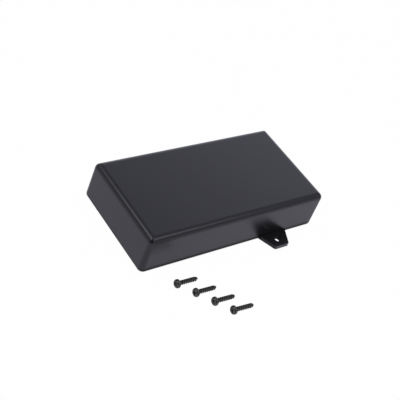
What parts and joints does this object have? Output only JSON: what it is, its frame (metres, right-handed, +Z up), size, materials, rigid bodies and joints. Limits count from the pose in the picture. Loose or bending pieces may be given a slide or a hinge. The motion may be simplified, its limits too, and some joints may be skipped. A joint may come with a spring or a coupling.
{
  "type": "plastic project box",
  "caption": "Shallow rectangular electronics enclosure: a drafted plastic cover with a filleted roof over a lipped base plate with side lugs, its cover screws lying beside it.",
  "frame": {"origin": "centre of the base plate's underside", "axes": "+X along the box's length, +Z up from the base plate towards the roof; the loose screws lie on the -Y side"},
  "size_m": [0.12, 0.1107, 0.023],
  "materials": {
    "black_abs": "fine satin moulded texture",
    "black_steel": "black phosphate with a thin oil sheen"
  },
  "bodies": {
    "root": {"housing": "black_abs", "base_plate": "black_abs", "cover_screws": "black_steel"}
  },
  "joints": []
}
